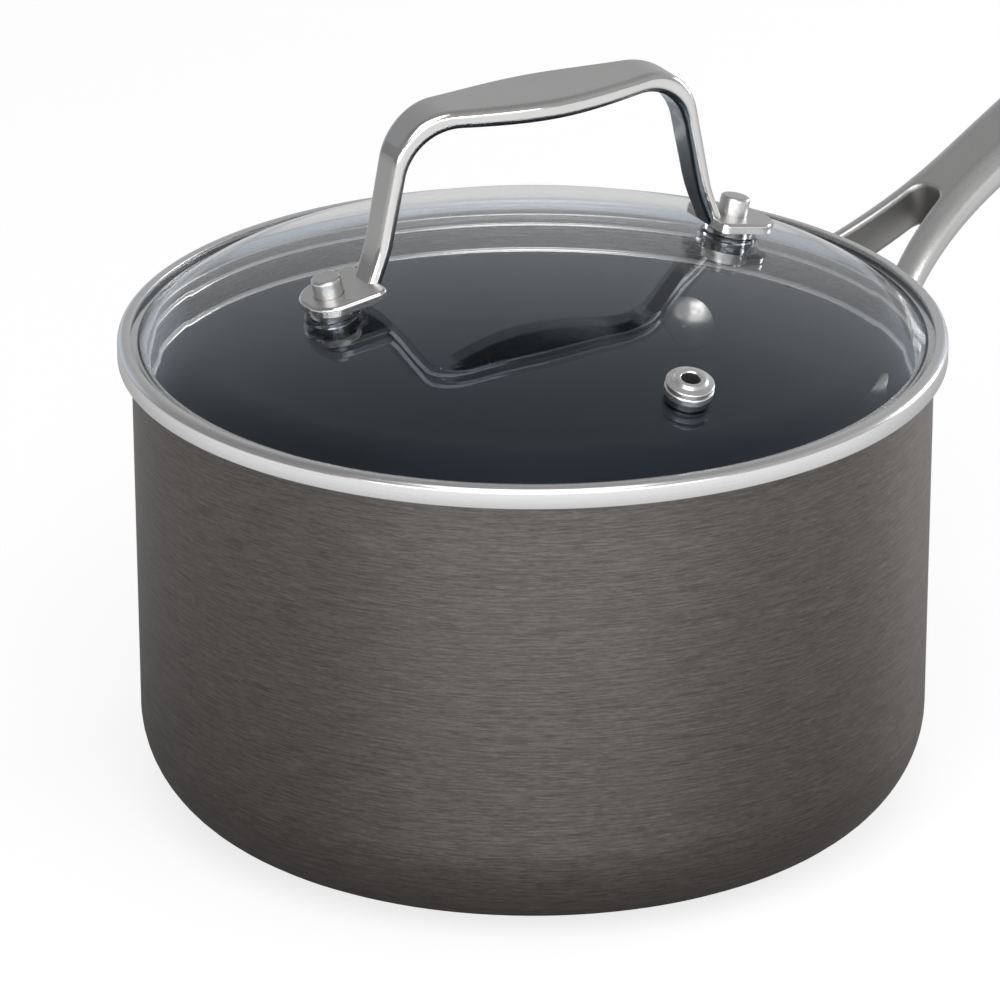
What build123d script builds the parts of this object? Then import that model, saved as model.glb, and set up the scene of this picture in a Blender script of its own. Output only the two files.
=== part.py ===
"""Saucepan with a glass lid, in millimetres.

The origin is the centre of the pan's base, +Z points up and +X runs along the pan's handle.
"""
from build123d import *
from math import asin, atan2, cos, degrees, radians, sin, sqrt, tan
import os

# Pan body
MOUTH_RADIUS = 90.0
WALL = 3.0
WALL_LEAN = 1.2
PAN_HEIGHT = 110.2
BASE_THICKNESS = 4.0
CORNER_RADIUS = 24.1
RIM_ROUND = 0.8

# Pan handle: a fork whose legs spread from the neck to the wall
HANDLE_LENGTH = 190.0
HANDLE_START_HEIGHT = 85.8
HANDLE_START_ANGLE = 26.9
HANDLE_SWEEP_RADIUS = 970.0
HANDLE_THICKNESS = 10.3
NECK_WIDTH = 17.2
NECK_REACH = 62.7
GRIP_WIDTH = 20.0
LEG_WIDTH = 5.6
LEG_SPREAD_RADIUS = 90.0
CROTCH_REACH = 49.0
CROTCH_FULLNESS = 0.9
SHOULDER_ROUND = 4.2
SLOT_EDGE_ROUND = 1.25
HANG_HOLE_RADIUS = 4.5
HANG_HOLE_INSET = 13.0

# Pads and rivets that hold the fork to the wall
RIVET_ANGLE = 20.0
RIVET_RADIUS = 3.0
RIVET_HEAD_RADIUS = 6.5
RIVET_HEAD_HEIGHT = 3.3
RIVET_GRIP = 4.0
PAD_THICKNESS = 5.5
PAD_WIDTH = 17.0
PAD_HEIGHT = 20.0
PAD_ROUND = 6.0
PAD_EDGE_ROUND = 1.6

# Lid glass
GLASS_THICKNESS = 3.6
DOME_RADIUS = 240.0
DOME_RISE = 20.5
SHOULDER_WIDTH = 7.6
SHOULDER_BLEND = 30.0
MARGIN_WIDTH = 3.9
MARGIN_BLEND = 1.5

# Lid band
BAND_OVERHANG = 3.2
BAND_WALL = 1.0
BAND_SHEET = 0.5
LIP_WIDTH = 3.0
LIP_THICKNESS = 1.1
LIP_ROUND_WIDTH = 2.0
LIP_ROUND_HEIGHT = 1.6
LIP_EDGE_ROUND = 0.4
SKIRT_THICKNESS = 0.8
SKIRT_DEPTH = 8.8
HEM_RADIUS = 0.9
BEAD_RADIUS = 0.6
BEAD_DROP = 2.4

# Lid handle
LID_HANDLE_ANGLE = -16.2
PIN_REACH = 52.0
BAR_HEIGHT = 41.1
BAR_WIDTH = 20.0
BAR_THICKNESS = 4.1
BAR_BULGE = 1.8
BAR_SAG = 0.9
STRAP_WIDTH = 8.4
STRAP_THICKNESS = 3.7
STRAP_LEAN = 11.4
STRAP_REACH = 40.4
STRAP_REACH_DROP = 15.0
STRAP_SHIFT = 1.6
FLARE_HEIGHT = 14.0
FLARE_WIDTH = 2.4
FLARE_RADIUS = 40.0
BEND_RADIUS = 14.4
INNER_BEND_RADIUS = 13.0
STRAP_TOP_ROUND = 1.8
STRAP_EDGE_ROUND = 1.7
FOOT_THICKNESS = 2.3
FOOT_INNER_WIDTH = 19.0
FOOT_OUTER_WIDTH = 16.0
FOOT_TIP_WIDTH = 8.0
FOOT_INNER_REACH = 9.3
FOOT_OUTER_REACH = 4.3
FOOT_TIP_REACH = 8.0
FOOT_ROUND = 2.2
FOOT_TIP_ROUND = 5.5
FOOT_EDGE_ROUND = 0.8

# Pins, gaskets and washers of the lid handle
PIN_RADIUS = 3.5
PIN_STAND = 4.4
PIN_EDGE_ROUND = 0.8
PIN_HEAD_RADIUS = 5.4
PIN_HEAD_HEIGHT = 1.8
GASKET_RADIUS = 6.7
GASKET_FLANGE = 1.0
GASKET_EDGE_ROUND = 0.4
BOSS_RADIUS = 5.7
BOSS_HEIGHT = 2.2
SLEEVE_WALL = 0.8
UNDER_GASKET_RADIUS = 7.4
UNDER_GASKET_THICKNESS = 1.2
BACKING_RADIUS = 6.4
BACKING_THICKNESS = 0.8

# Steam vent
VENT_ANGLE = -105.2
VENT_INSET = 19.9
VENT_BORE_RADIUS = 2.2
VENT_TUBE_WALL = 0.7
VENT_FLANGE_RADIUS = 5.6
VENT_FLANGE_HEIGHT = 1.8
VENT_WASHER_RADIUS = 5.7
VENT_WASHER_HEIGHT = 1.7
VENT_WASHER_ROUND = 0.4
VENT_NECK_RADIUS = 4.2
VENT_NECK_HEIGHT = 0.6
VENT_BACK_RADIUS = 5.0
VENT_BACK_HEIGHT = 1.0
VENT_FLARE = 0.7
VENT_EDGE_HEIGHT = 0.7
VENT_EDGE_ROUND = 0.3
VENT_STEP_HEIGHT = 1.15
VENT_STEP_WIDTH = 0.6
VENT_LIP_WIDTH = 1.3
VENT_LIP_ROUND = 0.5

# Clearances
MOUTH_CLEARANCE = 1.0
PAD_CLEARANCE = 0.1
BORE_CLEARANCE = 0.1
EDGE_CLEARANCE = 0.1
SEAT_CLEARANCE = 0.05

# Share of a wall that its rounded edges may take together
EDGE_SHARE = 0.98

# Share of a direction along an axis above which an edge counts as running that way
ALONG = 0.7

# Sizes that follow from the ones above
rim_radius = MOUTH_RADIUS + WALL
band_radius = rim_radius + BAND_OVERHANG
glass_radius = band_radius - BAND_WALL - EDGE_CLEARANCE
shoulder_start = glass_radius - MARGIN_WIDTH - SHOULDER_WIDTH
glass_seat = PAN_HEIGHT + BAND_SHEET
margin_top = glass_seat + GLASS_THICKNESS
band_top = margin_top + LIP_THICKNESS
lip_radius = band_radius - LIP_WIDTH
dome_top = margin_top + DOME_RISE
skirt_radius = MOUTH_RADIUS - MOUTH_CLEARANCE
vent_reach = MOUTH_RADIUS - VENT_INSET


def wall_radius_at(height):
    """Outer radius of the pan's wall at a height."""
    return rim_radius - WALL_LEAN * (PAN_HEIGHT - height) / PAN_HEIGHT


def dome_height_at(reach):
    """Height of the glass's top surface at a distance from its axis."""
    return dome_top - DOME_RADIUS + sqrt(DOME_RADIUS**2 - reach**2)


def sag(radius, half_width):
    """How far a curve of a radius falls away across half a width."""
    return radius - sqrt(radius**2 - half_width**2)


def dome_plane(reach):
    """Plane that touches the dome at a distance from its axis, with its x axis outward."""
    tilt = asin(reach / DOME_RADIUS)
    return Plane(
        origin=(reach, 0, dome_height_at(reach)),
        x_dir=(cos(tilt), 0, -sin(tilt)),
        z_dir=(sin(tilt), 0, cos(tilt)),
    )


def glass_depth_at(reach):
    """Thickness of the glass square to its surface at a distance from its axis."""
    return GLASS_THICKNESS * cos(asin(reach / DOME_RADIUS))


def disc(radius, low, high):
    """Cylinder on the z axis between two heights."""
    return Pos(0, 0, low) * Cylinder(radius, high - low, align=(Align.CENTER, Align.CENTER, Align.MIN))


def ring(outer, inner, low, high):
    """Flat ring on the z axis between two heights."""
    return disc(outer, low, high) - disc(inner, low, high)


def lathe(profile):
    """Turn a profile, drawn as radius and height, about the z axis."""
    return revolve(Plane.XZ * profile, Axis.Z)


def outline(*points):
    """Closed face through points."""
    return make_face(Polyline(*points, close=True))


def quarter_round(centre, width, height, start_angle):
    """Quarter of an ellipse about a centre, from a start angle."""
    return EllipticalCenterArc(centre, width, height, start_angle=start_angle, arc_size=90)


def rounded(face, radius, *corners):
    """Round the corners of a flat face that lie at the given points."""
    picked = [min(face.vertices(), key=lambda v: (v.center() - Vector(*c)).length) for c in corners]
    return fillet(picked, radius)


# Pan body: base, corner and wall turned in one piece
def make_pan_body():
    low_radius = rim_radius - WALL_LEAN
    outer_corner = (low_radius, 0)
    inner_corner = (low_radius - WALL, BASE_THICKNESS)
    profile = outline(
        (0, 0),
        outer_corner,
        (rim_radius, PAN_HEIGHT),
        (MOUTH_RADIUS, PAN_HEIGHT),
        inner_corner,
        (0, BASE_THICKNESS),
    )
    profile = rounded(profile, CORNER_RADIUS, outer_corner)
    profile = rounded(profile, CORNER_RADIUS - WALL, inner_corner)
    profile = rounded(profile, RIM_ROUND, (rim_radius, PAN_HEIGHT), (MOUTH_RADIUS, PAN_HEIGHT))
    body = lathe(profile)
    for side in (1, -1):
        body -= rivet_frame(side) * disc(RIVET_RADIUS + BORE_CLEARANCE, -2 * WALL, 2 * WALL)
    return body


def rivet_frame(side):
    """Frame on the outside of the wall at a rivet, with its z axis pointing out of the pan."""
    angle = radians(side * RIVET_ANGLE)
    radius = wall_radius_at(HANDLE_START_HEIGHT)
    return Plane(
        origin=(radius * cos(angle), radius * sin(angle), HANDLE_START_HEIGHT),
        x_dir=(-sin(angle), cos(angle), 0),
        z_dir=(cos(angle), sin(angle), 0),
    ).location


# Pan handle: a plan outline and a side outline cut from each other, with a pad on each leg
def make_pan_handle():
    start_x = wall_radius_at(HANDLE_START_HEIGHT) * cos(radians(RIVET_ANGLE))
    end_x = start_x + HANDLE_LENGTH
    neck_x = start_x + NECK_REACH
    crotch_x = start_x + CROTCH_REACH
    neck_half = NECK_WIDTH / 2
    grip_half = GRIP_WIDTH / 2
    spread_y = neck_half + LEG_SPREAD_RADIUS
    inner_radius = LEG_SPREAD_RADIUS + LEG_WIDTH

    def arc_y(radius, x):
        return spread_y - sqrt(radius**2 - (neck_x - x) ** 2)

    tail_x = start_x - WALL
    outer_tail = (tail_x, arc_y(LEG_SPREAD_RADIUS, tail_x))
    outer_mid_x = (tail_x + neck_x) / 2
    outer_mid = (outer_mid_x, arc_y(LEG_SPREAD_RADIUS, outer_mid_x))
    inner_tail = (tail_x, arc_y(inner_radius, tail_x))
    inner_mid_x = (tail_x + crotch_x) / 2
    inner_mid = (inner_mid_x, arc_y(inner_radius, inner_mid_x))
    inner_tip = (crotch_x, arc_y(inner_radius, crotch_x))

    def mirrored(point):
        return (point[0], -point[1])

    grip_x = end_x - grip_half
    plan = make_face(
        [
            ThreePointArc(outer_tail, outer_mid, (neck_x, neck_half)),
            Spline((neck_x, neck_half), (grip_x, grip_half), tangents=[(1, 0), (1, 0)]),
            ThreePointArc((grip_x, grip_half), (end_x, 0), (grip_x, -grip_half)),
            Spline((grip_x, -grip_half), (neck_x, -neck_half), tangents=[(-1, 0), (-1, 0)]),
            ThreePointArc((neck_x, -neck_half), mirrored(outer_mid), mirrored(outer_tail)),
            Line(mirrored(outer_tail), outer_tail),
        ]
    )
    slot = make_face(
        [
            ThreePointArc(inner_tail, inner_mid, inner_tip),
            Line(inner_tip, mirrored(inner_tip)),
            ThreePointArc(mirrored(inner_tip), mirrored(inner_mid), mirrored(inner_tail)),
            Line(mirrored(inner_tail), inner_tail),
        ]
    )
    slot = rounded(slot, CROTCH_FULLNESS * inner_tip[1], inner_tip, mirrored(inner_tip))
    start_angle = radians(HANDLE_START_ANGLE)
    centre_x = start_x + HANDLE_SWEEP_RADIUS * sin(start_angle)
    centre_z = HANDLE_START_HEIGHT - HANDLE_SWEEP_RADIUS * cos(start_angle)
    upper = HANDLE_SWEEP_RADIUS + HANDLE_THICKNESS / 2
    lower = HANDLE_SWEEP_RADIUS - HANDLE_THICKNESS / 2

    def side_point(radius, x):
        return (x, centre_z + sqrt(radius**2 - (centre_x - x) ** 2))

    middle_x = (tail_x + end_x) / 2
    past_x = end_x + WALL
    side_face = make_face(
        [
            ThreePointArc(side_point(upper, tail_x), side_point(upper, middle_x), side_point(upper, past_x)),
            Line(side_point(upper, past_x), side_point(lower, past_x)),
            ThreePointArc(side_point(lower, past_x), side_point(lower, middle_x), side_point(lower, tail_x)),
            Line(side_point(lower, tail_x), side_point(upper, tail_x)),
        ]
    )
    fork = extrude(plan, 2 * PAN_HEIGHT) & extrude(Plane.XZ * side_face, 2 * PAN_HEIGHT, both=True)
    leg_room = EDGE_SHARE * LEG_WIDTH / (SHOULDER_ROUND + SLOT_EDGE_ROUND)
    side_room = EDGE_SHARE * HANDLE_THICKNESS / (2 * SHOULDER_ROUND)
    fit = min(1, leg_room, side_room)
    shoulders = [e for e in fork.edges() if e.center().X > start_x and abs(e.tangent_at(0.5).Z) < ALONG]
    fork = fillet(shoulders, fit * SHOULDER_ROUND)
    slot_block = extrude(slot, 2 * PAN_HEIGHT)
    fork -= slot_block
    slot_edges = [e for e in fork.edges() if e.distance_to(slot_block) < SEAT_CLEARANCE]
    slot_edges = [e for e in slot_edges if e.center().X > start_x]
    fork = fillet([e for e in slot_edges if abs(e.tangent_at(0.5).Z) < ALONG], fit * SLOT_EDGE_ROUND)
    for side in (1, -1):
        pad = extrude(RectangleRounded(PAD_WIDTH, PAD_HEIGHT, PAD_ROUND), PAD_THICKNESS + WALL)
        pad = fillet(pad.faces().sort_by(Axis.Z)[-1].edges(), PAD_EDGE_ROUND)
        fork += rivet_frame(side) * Pos(0, 0, -WALL) * pad
    inside = lathe(
        outline(
            (0, -WALL),
            (wall_radius_at(-WALL) + PAD_CLEARANCE, -WALL),
            (wall_radius_at(2 * PAN_HEIGHT) + PAD_CLEARANCE, 2 * PAN_HEIGHT),
            (0, 2 * PAN_HEIGHT),
        )
    )
    fork -= inside
    for side in (1, -1):
        fork -= rivet_frame(side) * disc(RIVET_RADIUS + BORE_CLEARANCE, -WALL, RIVET_GRIP + BORE_CLEARANCE)
    hole_x = end_x - HANG_HOLE_INSET
    hole_z = side_point(HANDLE_SWEEP_RADIUS, hole_x)[1]
    lean = atan2(centre_x - hole_x, hole_z - centre_z)
    hole = disc(HANG_HOLE_RADIUS, -HANDLE_THICKNESS, HANDLE_THICKNESS)
    fork -= Pos(hole_x, 0, hole_z) * Rot(0, -degrees(lean), 0) * hole
    return fork


def make_handle_rivet(side):
    """Domed head inside the wall and a shank that ends in the leg of the fork."""
    inner_radius = wall_radius_at(HANDLE_START_HEIGHT) - WALL
    lean_gap = RIVET_HEAD_RADIUS * WALL_LEAN / PAN_HEIGHT
    head_base = -WALL - sag(inner_radius, RIVET_HEAD_RADIUS) - lean_gap - SEAT_CLEARANCE
    head_tip = head_base - RIVET_HEAD_HEIGHT
    cap_radius = (RIVET_HEAD_RADIUS**2 + RIVET_HEAD_HEIGHT**2) / (2 * RIVET_HEAD_HEIGHT)
    half = RIVET_HEAD_RADIUS / 2
    dome_mid = (half, head_tip + sag(cap_radius, half))
    profile = make_face(
        [
            Line((0, RIVET_GRIP), (RIVET_RADIUS, RIVET_GRIP)),
            Line((RIVET_RADIUS, RIVET_GRIP), (RIVET_RADIUS, head_base)),
            Line((RIVET_RADIUS, head_base), (RIVET_HEAD_RADIUS, head_base)),
            ThreePointArc((RIVET_HEAD_RADIUS, head_base), dome_mid, (0, head_tip)),
            Line((0, head_tip), (0, RIVET_GRIP)),
        ]
    )
    return rivet_frame(side) * lathe(profile)


# Lid glass: one turned dome with a flat margin, drilled for the handle and the vent
def make_lid_glass():
    dome_edge = (shoulder_start, dome_height_at(shoulder_start))
    margin_edge = (glass_radius - MARGIN_WIDTH, margin_top)
    half = shoulder_start / 2
    drop = GLASS_THICKNESS

    def lowered(point):
        return (point[0], point[1] - drop)

    apex = (0, dome_top)
    dome_mid = (half, dome_height_at(half))
    rim_top = (glass_radius, margin_top)
    profile = make_face(
        [
            ThreePointArc(apex, dome_mid, dome_edge),
            Line(dome_edge, margin_edge),
            Line(margin_edge, rim_top),
            Line(rim_top, lowered(rim_top)),
            Line(lowered(rim_top), lowered(margin_edge)),
            Line(lowered(margin_edge), lowered(dome_edge)),
            ThreePointArc(lowered(dome_edge), lowered(dome_mid), lowered(apex)),
            Line(lowered(apex), apex),
        ]
    )
    profile = rounded(profile, SHOULDER_BLEND, dome_edge, lowered(dome_edge))
    profile = rounded(profile, MARGIN_BLEND, margin_edge, lowered(margin_edge))
    glass = lathe(profile)
    sleeve_radius = PIN_RADIUS + BORE_CLEARANCE + SLEEVE_WALL
    hole = disc(sleeve_radius + BORE_CLEARANCE, -3 * GLASS_THICKNESS, 3 * GLASS_THICKNESS)
    for turn in lid_turns.values():
        glass -= turn * dome_plane(PIN_REACH).location * hole
    vent_radius = VENT_BORE_RADIUS + VENT_TUBE_WALL + BORE_CLEARANCE
    vent_hole = disc(vent_radius, -3 * GLASS_THICKNESS, 3 * GLASS_THICKNESS)
    return glass - vent_turn * dome_plane(vent_reach).location * vent_hole


# Lid band: lip over the glass, outer wall, flange on the rim and skirt with its hem and bead
def make_lid_band():
    groove = glass_radius + EDGE_CLEARANCE
    skirt_inner = skirt_radius - SKIRT_THICKNESS
    skirt_low = PAN_HEIGHT - SKIRT_DEPTH
    round_start = (band_radius, band_top - LIP_ROUND_HEIGHT)
    round_end = (band_radius - LIP_ROUND_WIDTH, band_top)
    profile = make_face(
        [
            Line((band_radius, PAN_HEIGHT), round_start),
            quarter_round((round_end[0], round_start[1]), LIP_ROUND_WIDTH, LIP_ROUND_HEIGHT, 0),
            Polyline(
                round_end,
                (lip_radius, band_top),
                (lip_radius, margin_top),
                (groove, margin_top),
                (groove, glass_seat),
                (skirt_inner, glass_seat),
                (skirt_inner, skirt_low),
                (skirt_radius, skirt_low),
                (skirt_radius, PAN_HEIGHT),
                (band_radius, PAN_HEIGHT),
            ),
        ]
    )
    profile = rounded(profile, LIP_EDGE_ROUND, (lip_radius, band_top))
    profile += Pos(skirt_radius - HEM_RADIUS, skirt_low) * Circle(HEM_RADIUS)
    profile += Pos(skirt_inner, PAN_HEIGHT - BEAD_DROP) * Circle(BEAD_RADIUS)
    return lathe(profile)


# Lid handle: a bent strap, widest in the middle of its bar, on two foot plates
def make_lid_handle():
    bar_top = dome_top + BAR_HEIGHT
    lean = tan(radians(STRAP_LEAN))
    slant = STRAP_THICKNESS / cos(radians(STRAP_LEAN))
    reach_height = bar_top - STRAP_REACH_DROP
    foot_plane = dome_plane(PIN_REACH)
    foot_low = foot_plane.origin.Z

    def strap_outer(height):
        return STRAP_REACH + (reach_height - height) * lean

    def strap_inner(height):
        return strap_outer(height) - slant

    bar_low = bar_top - BAR_THICKNESS
    flare_top = foot_low + FLARE_HEIGHT
    outer_bend = (strap_outer(bar_top), bar_top)
    outer_flare = (strap_outer(flare_top), flare_top)
    outer_base = (strap_outer(foot_low) + FLARE_WIDTH, foot_low)
    inner_base = (strap_inner(foot_low) + FLARE_WIDTH, foot_low)
    inner_flare = (strap_inner(flare_top), flare_top)
    inner_bend = (strap_inner(bar_low), bar_low)

    def opposite(point):
        return (-point[0], point[1])

    outer_half = [outer_bend, outer_flare, outer_base]
    outer_face = make_face(
        [
            ThreePointArc(opposite(outer_bend), (0, bar_top - BAR_SAG), outer_bend),
            Polyline(*outer_half, *[opposite(point) for point in reversed(outer_half)]),
        ]
    )
    outer_face = rounded(outer_face, BEND_RADIUS, outer_bend, opposite(outer_bend))
    outer_face = rounded(outer_face, FLARE_RADIUS, outer_flare, opposite(outer_flare))
    inner_half = [inner_bend, inner_flare, inner_base, (inner_base[0], 0)]
    inner_face = make_face(
        [
            ThreePointArc(opposite(inner_bend), (0, bar_low - BAR_BULGE), inner_bend),
            Polyline(*inner_half, *[opposite(point) for point in reversed(inner_half)]),
        ]
    )
    inner_face = rounded(inner_face, INNER_BEND_RADIUS, inner_bend, opposite(inner_bend))
    inner_face = rounded(inner_face, FLARE_RADIUS, inner_flare, opposite(inner_flare))
    half_strap = STRAP_WIDTH / 2
    half_bar = BAR_WIDTH / 2
    end_x = outer_base[0]
    plan = make_face(
        [
            Spline((-end_x, half_strap), (0, half_bar), (end_x, half_strap), tangents=[(1, 0), (1, 0)]),
            Line((end_x, half_strap), (end_x, -half_strap)),
            Spline((end_x, -half_strap), (0, -half_bar), (-end_x, -half_strap), tangents=[(-1, 0), (-1, 0)]),
            Line((-end_x, -half_strap), (-end_x, half_strap)),
        ]
    )
    strap = extrude(Plane.XZ * outer_face, BAR_WIDTH, both=True) & extrude(plan, bar_top + BAR_HEIGHT)
    top_edges = [e for e in strap.edges() if e.center().Z > foot_low + SEAT_CLEARANCE]
    fit = min(1, EDGE_SHARE * STRAP_THICKNESS / (STRAP_TOP_ROUND + STRAP_EDGE_ROUND))
    strap = fillet([e for e in top_edges if abs(e.tangent_at(0.5).Y) < ALONG], fit * STRAP_TOP_ROUND)
    inner_block = extrude(Plane.XZ * inner_face, BAR_WIDTH, both=True)
    strap -= inner_block
    inner_edges = [e for e in strap.edges() if e.distance_to(inner_block) < SEAT_CLEARANCE]
    inner_edges = [e for e in inner_edges if e.center().Z > foot_low + SEAT_CLEARANCE]
    strap = fillet([e for e in inner_edges if abs(e.tangent_at(0.5).Y) < ALONG], fit * STRAP_EDGE_ROUND)
    handle = Pos(STRAP_SHIFT, 0, 0) * strap
    foot = extrude(foot_outline(), FOOT_THICKNESS)
    foot = fillet(foot.faces().sort_by(Axis.Z)[-1].edges(), FOOT_EDGE_ROUND)
    below = Pos(0, 0, -BAR_HEIGHT) * Box(
        2 * BAR_HEIGHT, 2 * BAR_HEIGHT, BAR_HEIGHT, align=(Align.CENTER, Align.CENTER, Align.MIN)
    )
    seat = foot_plane.location * Pos(0, 0, GASKET_FLANGE + BOSS_HEIGHT)
    for turn in half_turns:
        handle -= turn * seat * below
    pin_hole = disc(PIN_RADIUS + BORE_CLEARANCE, -FOOT_THICKNESS, FOOT_THICKNESS + 2 * PIN_STAND)
    for turn, shift in zip(half_turns, (STRAP_SHIFT, -STRAP_SHIFT)):
        handle += turn * seat * Pos(shift, 0, 0) * foot
        handle -= turn * seat * pin_hole
    return lid_turns["right"] * handle


def foot_outline():
    """Tongue of a foot plate, with its tip along +X and the origin near its pin."""
    inner = (-FOOT_INNER_REACH, FOOT_INNER_WIDTH / 2)
    outer = (FOOT_OUTER_REACH, FOOT_OUTER_WIDTH / 2)
    tip = (FOOT_TIP_REACH, FOOT_TIP_WIDTH / 2)
    half = [inner, outer, tip]
    other_half = [(x, -y) for x, y in reversed(half)]
    plate = rounded(outline(*half, *other_half), FOOT_ROUND, inner, other_half[2])
    return rounded(plate, FOOT_TIP_ROUND, outer, tip, *other_half[:2])


# Pins, gaskets and washers, made upright and then laid on the dome at each foot
def make_lid_pin():
    top = GASKET_FLANGE + BOSS_HEIGHT + FOOT_THICKNESS + PIN_STAND
    head_top = under_gasket_top - UNDER_GASKET_THICKNESS - BACKING_THICKNESS
    shank = disc(PIN_RADIUS, head_top, top)
    shank = fillet(shank.edges().sort_by(Axis.Z)[-1], PIN_EDGE_ROUND)
    return shank + disc(PIN_HEAD_RADIUS, head_top - PIN_HEAD_HEIGHT, head_top)


def make_foot_gasket():
    sleeve_radius = PIN_RADIUS + BORE_CLEARANCE + SLEEVE_WALL
    flange = disc(GASKET_RADIUS, 0, GASKET_FLANGE)
    flange = fillet(flange.edges().sort_by(Axis.Z)[-1], GASKET_EDGE_ROUND)
    gasket = flange + disc(BOSS_RADIUS, 0, GASKET_FLANGE + BOSS_HEIGHT)
    gasket += disc(sleeve_radius, -glass_depth_at(PIN_REACH), 0)
    return gasket - disc(PIN_RADIUS + BORE_CLEARANCE, -2 * GLASS_THICKNESS, GASKET_FLANGE + 2 * BOSS_HEIGHT)


def make_under_gasket():
    low = under_gasket_top - UNDER_GASKET_THICKNESS
    return ring(UNDER_GASKET_RADIUS, PIN_RADIUS + BORE_CLEARANCE, low, under_gasket_top)


def make_backing_washer():
    high = under_gasket_top - UNDER_GASKET_THICKNESS
    return ring(BACKING_RADIUS, PIN_RADIUS + BORE_CLEARANCE, high - BACKING_THICKNESS, high)


# Steam vent: a rolled eyelet on a washer, flared over a ring below the glass
def make_vent():
    tube_radius = VENT_BORE_RADIUS + VENT_TUBE_WALL
    depth = glass_depth_at(vent_reach)
    back_top = -depth - sag(DOME_RADIUS, VENT_BACK_RADIUS) - SEAT_CLEARANCE
    back_low = back_top - VENT_BACK_HEIGHT
    flange_low = VENT_WASHER_HEIGHT + VENT_NECK_HEIGHT
    flange_top = flange_low + VENT_FLANGE_HEIGHT
    tube_low = back_low - VENT_FLARE
    eyelet = disc(tube_radius, tube_low, flange_top)
    crown_radius = VENT_BORE_RADIUS + VENT_LIP_WIDTH
    corners = [
        (VENT_FLANGE_RADIUS, flange_low),
        (VENT_FLANGE_RADIUS, flange_low + VENT_EDGE_HEIGHT),
        (crown_radius + VENT_STEP_WIDTH, flange_low + VENT_STEP_HEIGHT),
        (crown_radius, flange_top),
    ]
    flange = outline((0, flange_low), *corners, (0, flange_top))
    eyelet += lathe(rounded(flange, VENT_EDGE_ROUND, *corners))
    eyelet += disc(tube_radius + VENT_FLARE, tube_low, back_low)
    eyelet -= disc(VENT_BORE_RADIUS, tube_low, flange_top)
    top_edges = eyelet.edges().filter_by(GeomType.CIRCLE).group_by(Axis.Z)[-1]
    eyelet = fillet(top_edges.sort_by(SortBy.RADIUS)[0], VENT_LIP_ROUND)
    bore = tube_radius + BORE_CLEARANCE
    washer = disc(VENT_WASHER_RADIUS, 0, VENT_WASHER_HEIGHT)
    washer = fillet(washer.edges().sort_by(Axis.Z)[-1], VENT_WASHER_ROUND)
    washer += disc(VENT_NECK_RADIUS, 0, flange_low)
    washer -= disc(bore, 0, flange_low)
    back_ring = ring(VENT_BACK_RADIUS, bore, back_low, back_top)
    return {"vent_eyelet": eyelet, "vent_washer": washer, "vent_back_ring": back_ring}


half_turns = [Rot(0, 0, 0), Rot(0, 0, 180)]
lid_turns = {
    "right": Rot(0, 0, LID_HANDLE_ANGLE),
    "left": Rot(0, 0, LID_HANDLE_ANGLE + 180),
}
vent_turn = Rot(0, 0, VENT_ANGLE)
under_gasket_top = -glass_depth_at(PIN_REACH) - sag(DOME_RADIUS, UNDER_GASKET_RADIUS) - SEAT_CLEARANCE

parts = {
    "pan_body": make_pan_body(),
    "pan_handle": make_pan_handle(),
    "handle_rivet_left": make_handle_rivet(1),
    "handle_rivet_right": make_handle_rivet(-1),
    "lid_glass": make_lid_glass(),
    "lid_band": make_lid_band(),
    "lid_handle": make_lid_handle(),
}
foot_pieces = {
    "lid_pin": make_lid_pin(),
    "foot_gasket": make_foot_gasket(),
    "under_gasket": make_under_gasket(),
    "backing_washer": make_backing_washer(),
}
for name, piece in foot_pieces.items():
    for side, turn in lid_turns.items():
        parts[f"{name}_{side}"] = turn * dome_plane(PIN_REACH).location * piece
for name, piece in make_vent().items():
    parts[name] = vent_turn * dome_plane(vent_reach).location * piece

os.makedirs("parts", exist_ok=True)
for name, piece in parts.items():
    export_step(piece, f"parts/{name}.step")
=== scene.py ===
from math import asin, atan2, cos, pi, radians, sin, sqrt, tan

import bpy
from mathutils import Matrix, Vector


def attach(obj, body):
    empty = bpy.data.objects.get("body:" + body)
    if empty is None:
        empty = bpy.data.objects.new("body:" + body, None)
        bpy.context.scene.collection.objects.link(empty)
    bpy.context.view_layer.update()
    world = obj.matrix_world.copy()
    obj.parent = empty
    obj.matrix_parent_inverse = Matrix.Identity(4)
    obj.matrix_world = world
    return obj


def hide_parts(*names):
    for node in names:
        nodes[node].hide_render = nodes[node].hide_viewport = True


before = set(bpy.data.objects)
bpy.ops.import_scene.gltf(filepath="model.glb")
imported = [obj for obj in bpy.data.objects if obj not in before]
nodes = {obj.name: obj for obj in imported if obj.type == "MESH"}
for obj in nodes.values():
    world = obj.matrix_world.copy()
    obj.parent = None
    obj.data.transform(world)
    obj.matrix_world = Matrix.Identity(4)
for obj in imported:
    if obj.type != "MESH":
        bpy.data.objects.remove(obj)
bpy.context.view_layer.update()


# Pan body
# One shell drawn from an aluminium disc, brushed round on a lathe and hard-anodised to a warm dark grey.
# The inside is sprayed with a blue-black non-stick coating that shows a very fine speckle.
SHELL_TONE = (0.200, 0.1815, 0.170, 1)
SHELL_DARK_LINE = (0.103, 0.0935, 0.088, 1)
SHELL_SHEEN = (0.38, 0.52)
SHELL_METAL = 0.85
SHELL_BRUSHING = 0.6
SHELL_BRUSHING_TURN = 0.25
SHELL_RELIEF = (0.15, 0.00003)
FINE_LINE_CELLS = (420, 4000)
LONG_LINE_CELLS = (110, 2600)
LINE_CONTRAST = (0.14, 0.38)
LINE_FRAYING = 0.6
COATING_TONE = (0.011, 0.012, 0.014, 1)
COATING_FLECK = (0.024, 0.026, 0.030, 1)
COATING_SHEEN = (0.34, 0.46)
COATING_GLOSS = 0.14
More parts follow.
